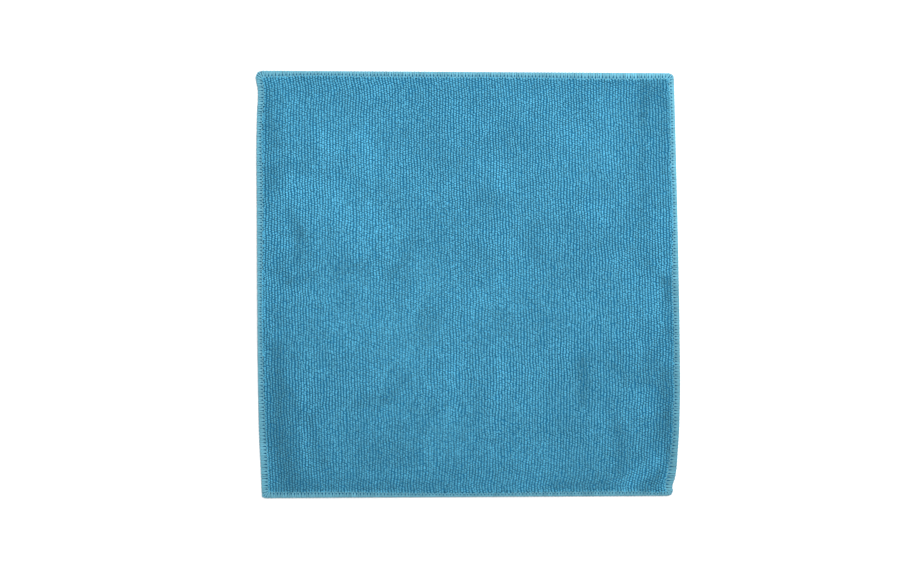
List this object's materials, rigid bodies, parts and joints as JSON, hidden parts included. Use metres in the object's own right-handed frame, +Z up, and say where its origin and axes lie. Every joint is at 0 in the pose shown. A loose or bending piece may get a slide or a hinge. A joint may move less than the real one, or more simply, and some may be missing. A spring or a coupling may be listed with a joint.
{
  "type": "microfibre cloth",
  "caption": "Square microfibre cleaning cloth lying flat, ribbed terry pile inside a light overlocked edge.",
  "frame": {"origin": "under the middle of the cloth, on the surface it lies on", "axes": "+Z up through the cloth's thickness; +Y along the ribs, towards the hem at the top of the picture; +X to the right"},
  "size_m": [0.4015, 0.4044, 0.0038],
  "materials": {
    "pile": "matte looped microfibre terry",
    "overlock": "soft textured polyester sewing thread"
  },
  "bodies": {
    "root": {"cloth": "pile"}
  },
  "joints": []
}
